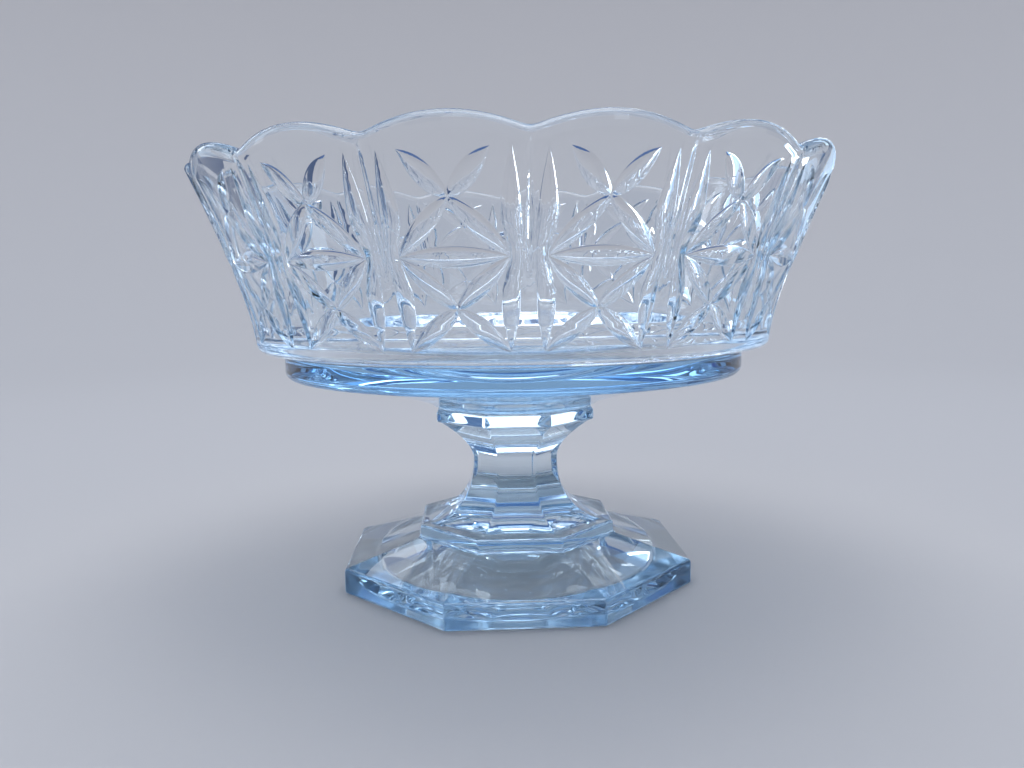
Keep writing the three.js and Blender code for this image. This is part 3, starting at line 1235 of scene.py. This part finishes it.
@dataclass(frozen=True)
class Viewpoint:
    """Camera of the photograph's viewing angle, in millimetres, pixels and radians."""

    focal: float = 833.71
    width: int = 1024
    distance: float = 311.23
    height: float = 107.38
    pitch: float = 0.1189
    yaw: float = -0.0019
    roll: float = -0.0145
    turn: float = 0.045
    sensor: float = 36.0
    nearest: float = 10.0

    def set_up(self) -> None:
        """Adds the camera and makes it the scene's own.

        The camera stands at the distance in front of the axis, turned back about it by the object's own
        turn, and looks along its yaw and pitch with its roll about that line.
        """
        lens = bpy.data.cameras.new("photo_view")
        lens.sensor_width = self.sensor
        lens.lens = self.focal * self.sensor / self.width
        lens.clip_start = self.nearest * MM
        camera = bpy.data.objects.new("photo_view", lens)
        place = Matrix.Translation(Vector((0, -self.distance, self.height)) * MM)
        turns = ((-self.yaw, "Z"), (math.pi / 2 - self.pitch, "X"), (self.roll, "Z"))
        yaw, pitch, roll = (Matrix.Rotation(angle, 4, axis) for angle, axis in turns)
        camera.matrix_world = Matrix.Rotation(-self.turn, 4, "Z") @ place @ yaw @ pitch @ roll
        SCENE.collection.objects.link(camera)
        SCENE.camera = camera


@dataclass
class Studio:
    """Pale round sweep, soft lamps, dark cards between them and a cool sky.

    The floor's radius, the sweep's radius, the height of the wall over it, the drop of the floor under
    the object and the lamps' aim are in millimetres. The sky fades from the horizon's colour to the
    zenith's between two sines of elevation, and bounces are the most surfaces on a path of light.
    """

    floor: float = 900.0
    sweep: float = 800.0
    height: float = 10.0
    drop: float = 0.2
    columns: int = 96
    floor_steps: int = 3
    sweep_steps: int = 32
    aim: float = 80.0
    zenith: Triple = (0.12, 0.22, 0.42)
    horizon: Triple = (0.045, 0.11, 0.30)
    fade: Pair = (0.3, 1.0)
    strength: float = 1.0
    bounces: int = 24
    mirror_bounces: int = 12
    clear_bounces: int = 16
    lamps: tuple[Softbox, ...] = (
        Softbox("overhead", (0.0, 0.2, 2.2), (2.2, 2.2), 39, (1.0, 1.0, 1.0), glint=False),
        Softbox("window_right", (0.95, 0.55, 0.62), (0.16, 0.7), 1.0, (0.62, 0.82, 1.0)),
        Softbox("window_left", (-1.0, 0.6, 0.62), (0.12, 0.7), 1.0, (0.86, 0.93, 1.0)),
        Softbox("window_front", (-0.5, -1.2, 0.8), (0.5, 0.9), 1.2, (0.9, 0.95, 1.0), glint=False),
        Softbox("bank_back_right", (0.45, 1.0, 0.95), (0.5, 0.1), 0.8, (0.95, 0.98, 1.0)),
        Softbox("bank_back_left", (-0.5, 0.9, 0.8), (0.4, 0.08), 0.2, (0.9, 0.96, 1.0)),
        Softbox("spark_right", (0.57, 0.96, 0.29), (0.03, 0.54), 0.36, (0.95, 0.98, 1.0)),
        Softbox("spark_left", (-0.57, 0.96, 0.29), (0.03, 0.54), 0.27, (0.8, 0.9, 1.0)),
        Softbox("panel_back", (0.0, 1.25, 1.15), (1.0, 0.36), 0.9, (0.4, 0.68, 1.0)),
        Softbox("panel_right", (0.7, 0.84, 0.4), (0.42, 0.78), 0.95, (0.4, 0.68, 1.0)),
        Softbox("panel_left", (-0.95, 0.42, 0.4), (0.3, 0.78), 0.57, (0.4, 0.68, 1.0)),
        Softbox("panel_front", (0.0, -1.15, 0.7), (0.7, 0.42), 0.8, (0.8, 0.9, 1.0)),
        Softbox("strip_front_right", (0.525, -0.909, 0.4), (0.13, 0.78), 0.5, (0.78, 0.9, 1.0)),
        Softbox("strip_left", (-1.05, 0.0, 0.4), (0.13, 0.78), 0.5, (0.78, 0.9, 1.0)),
    )
    flags: tuple[Flag, ...] = (
        Flag("flag_right", (1.05, 0.0), 0.3),
        Flag("flag_front_left", (-0.525, -0.909), 0.3),
        Flag("flag_back_left", (-0.55, 0.89), 0.26),
        Flag("flag_left", (-0.8, 0.66), 0.22),
        Flag("flag_back_right", (0.86, 0.6), 0.12),
    )

    def backdrop(self) -> None:
        """Adds a round floor that curves up into a wall on all sides: an outline turned about the axis."""
        outer, wall_foot = self.floor + self.sweep, self.sweep - self.drop
        stretches = [
            line((0, -self.drop), (self.floor, -self.drop), self.floor_steps),
            arc((self.floor, wall_foot), (self.sweep, self.sweep), (-90, 0), self.sweep_steps),
            line((outer, wall_foot), (outer, self.sweep + self.height)),
        ]
        # The stretches meet without a corner, so the join rounds nothing.
        points, _ = turned(soft_join(stretches, reach=0, steps=1), self.columns)
        rings = np.arange(points[..., 0].size).reshape(points.shape[:2])
        stage_sheet("sweep", points.reshape(-1, 3) * MM, ring_faces(rings)[:, ::-1], PALE_PAPER)

    def sky(self) -> None:
        """Cool light from above: a colour that deepens evenly from the horizon to the zenith."""
        world = bpy.data.worlds.new("studio_sky")
        graph = Graph.of(world)
        look = graph.node("TexCoord").outputs["Generated"]
        height = graph.node("SeparateXYZ", Vector=look).outputs["Z"]
        colour = graph.node("Mix", graph.span(height, self.fade, (0, 1)))
        colour.data_type = "RGBA"
        ends = [socket for socket in colour.inputs if socket.type == "RGBA"]
        for socket, value in zip(ends, (self.horizon, self.zenith)):
            socket.default_value = (*value, 1)
        result = next(socket for socket in colour.outputs if socket.type == "RGBA")
        light = graph.node("Background", Color=result, Strength=self.strength)
        graph.node("OutputWorld", Surface=light.outputs["Background"])
        SCENE.world = world

    def light_paths(self) -> None:
        """Lets light pass through as many surfaces as the cut glass needs."""
        SCENE.cycles.max_bounces = self.bounces
        SCENE.cycles.transmission_bounces = self.bounces
        SCENE.cycles.glossy_bounces = self.mirror_bounces
        SCENE.cycles.transparent_max_bounces = self.clear_bounces

    def set_up(self) -> None:
        """Builds the stage, the lamps and the camera."""
        self.light_paths()
        self.backdrop()
        self.sky()
        target = Vector((0, 0, self.aim)) * MM
        for lamp in self.lamps:
            lamp.hang(target)
        for flag in self.flags:
            flag.stand()
        Viewpoint().set_up()


def main() -> None:
    """Builds the three pieces and sets the studio round them."""
    logging.basicConfig(level=logging.INFO, format="%(name)s: %(message)s")
    SCENE.view_settings.view_transform = "Standard"
    for piece in (Pedestal(), BondFilm(), Bowl()):
        piece.build()
    Studio().set_up()


if __name__ == "__main__":
    main()
